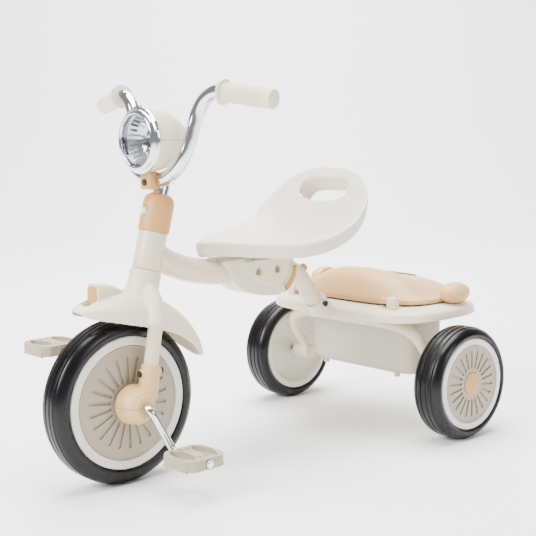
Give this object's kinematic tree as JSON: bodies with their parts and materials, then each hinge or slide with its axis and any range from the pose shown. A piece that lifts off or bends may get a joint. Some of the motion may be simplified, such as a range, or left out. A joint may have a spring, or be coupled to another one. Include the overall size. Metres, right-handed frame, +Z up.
{
  "type": "folding children tricycle",
  "caption": "Folding children tricycle: pedal front wheel under a steered fork, adjustable handlebar with lamp, bucket seat, fold joint, rear platform with lidded storage tub.",
  "frame": {"origin": "middle of the bounding box in plan, on the ground", "axes": "+X is the rider's left, -Y is the way it rides, +Z is up"},
  "size_m": [0.484, 0.804, 0.6001],
  "materials": {
    "cream_plastic": "fine moulded texture",
    "seat_plastic": "fine moulded texture",
    "tub_plastic": "satin moulded",
    "cream_paint": "powder coat, satin",
    "peach_plastic": "fine moulded texture",
    "lid_plastic": "satin moulded",
    "dark_inlay": "satin",
    "tyre": "grooved foam rubber",
    "ring_plastic": "satin moulded",
    "disc_plastic": "fine moulded texture",
    "pedal_plastic": "fine moulded texture",
    "bush_plastic": "natural nylon",
    "chrome": "polished",
    "lens": "clear",
    "steel": "zinc plated",
    "screw": "dark plated"
  },
  "bodies": {
    "front_frame": {"head_tube": "cream_paint", "headset_bush": "bush_plastic", "main_tube": "cream_paint", "joint_core": "steel", "joint_cover_left": "cream_plastic", "joint_cover_right": "cream_plastic", "fold_pin": "steel", "seat": "seat_plastic", "seat_bracket": "steel"},
    "steering": {"fork": "cream_paint", "hub_cover_left_upper": "peach_plastic", "hub_cover_left_lower": "peach_plastic", "leg_bolt_left": "screw", "hub_cover_right_upper": "peach_plastic", "hub_cover_right_lower": "peach_plastic", "leg_bolt_right": "screw", "mudguard": "cream_plastic", "mudguard_lamp": "peach_plastic", "steering_sleeve": "peach_plastic"},
    "handlebar": {"handlebar": "chrome", "grip_left": "cream_plastic", "grip_right": "cream_plastic", "lamp_bracket": "peach_plastic", "lamp_bolt": "screw", "lamp_shell_upper": "cream_plastic", "lamp_shell_lower": "cream_plastic", "lamp_bezel": "chrome", "lamp_lens": "lens", "lamp_reflector": "chrome", "lamp_board": "dark_inlay"},
    "stem_button": {"stem_button": "cream_plastic"},
    "front_wheel": {"front_tyre": "tyre", "front_rim": "ring_plastic", "front_disc_left": "disc_plastic", "front_disc_right": "disc_plastic", "crank": "chrome"},
    "pedal_left": {"pedal_left": "pedal_plastic"},
    "pedal_right": {"pedal_right": "pedal_plastic"},
    "fold_button": {"fold_button": "peach_plastic"},
    "rear_frame": {"strut": "cream_paint", "fold_bumper": "peach_plastic", "platform": "cream_plastic", "strut_bolt": "screw", "storage_tub": "tub_plastic", "axle_bow": "cream_paint", "wheel_bolt_left": "steel", "wheel_bolt_right": "steel"},
    "rear_wheel_left": {"rear_tyre_left": "tyre", "rear_rim_left": "ring_plastic", "rear_disc_left": "disc_plastic", "hub_cap_left": "peach_plastic"},
    "rear_wheel_right": {"rear_tyre_right": "tyre", "rear_rim_right": "ring_plastic", "rear_disc_right": "disc_plastic", "hub_cap_right": "peach_plastic"},
    "lid": {"lid": "lid_plastic", "lid_inlay": "dark_inlay", "lid_lobe_left": "lid_plastic", "lid_lobe_right": "lid_plastic"}
  },
  "joints": [
    {"name": "steer", "type": "hinge", "parent": "front_frame", "child": "steering", "pos_m": [0, -0.2747, 0.125], "axis": [0, 0.2706, 0.9627], "range_deg": [-40, 40]},
    {"name": "bar_height", "type": "slide", "parent": "steering", "child": "handlebar", "axis": [0, 0.2706, 0.9627], "range_m": [0, 0.06]},
    {"name": "height_button", "type": "slide", "parent": "steering", "child": "stem_button", "axis": [0, 0.9627, -0.2706], "range_m": [0, 0.003], "stiffness_N_per_m": 400},
    {"name": "front_wheel_spin", "type": "hinge", "parent": "steering", "child": "front_wheel", "pos_m": [0, -0.277, 0.125], "axis": [1, 0, 0], "continuous": true},
    {"name": "pedal_left_spin", "type": "hinge", "parent": "front_wheel", "child": "pedal_left", "pos_m": [0.1375, -0.2453, 0.05703], "axis": [1, 0, 0], "continuous": true},
    {"name": "pedal_right_spin", "type": "hinge", "parent": "front_wheel", "child": "pedal_right", "pos_m": [-0.1375, -0.3087, 0.19297], "axis": [1, 0, 0], "continuous": true},
    {"name": "fold_release", "type": "slide", "parent": "front_frame", "child": "fold_button", "axis": [-1, 0, 0], "range_m": [0, 0.004], "stiffness_N_per_m": 400},
    {"name": "fold", "type": "hinge", "parent": "front_frame", "child": "rear_frame", "pos_m": [0, 0.02177, 0.29546], "axis": [-1, 0, 0], "range_deg": [0, 70]},
    {"name": "rear_left_spin", "type": "hinge", "parent": "rear_frame", "child": "rear_wheel_left", "pos_m": [0.213, 0.265, 0.095], "axis": [1, 0, 0], "continuous": true},
    {"name": "rear_right_spin", "type": "hinge", "parent": "rear_frame", "child": "rear_wheel_right", "pos_m": [-0.213, 0.265, 0.095], "axis": [1, 0, 0], "continuous": true},
    {"name": "lid_hinge", "type": "hinge", "parent": "rear_frame", "child": "lid", "pos_m": [0, 0.197, 0.23], "axis": [1, 0, 0], "range_deg": [0, 80]}
  ]
}
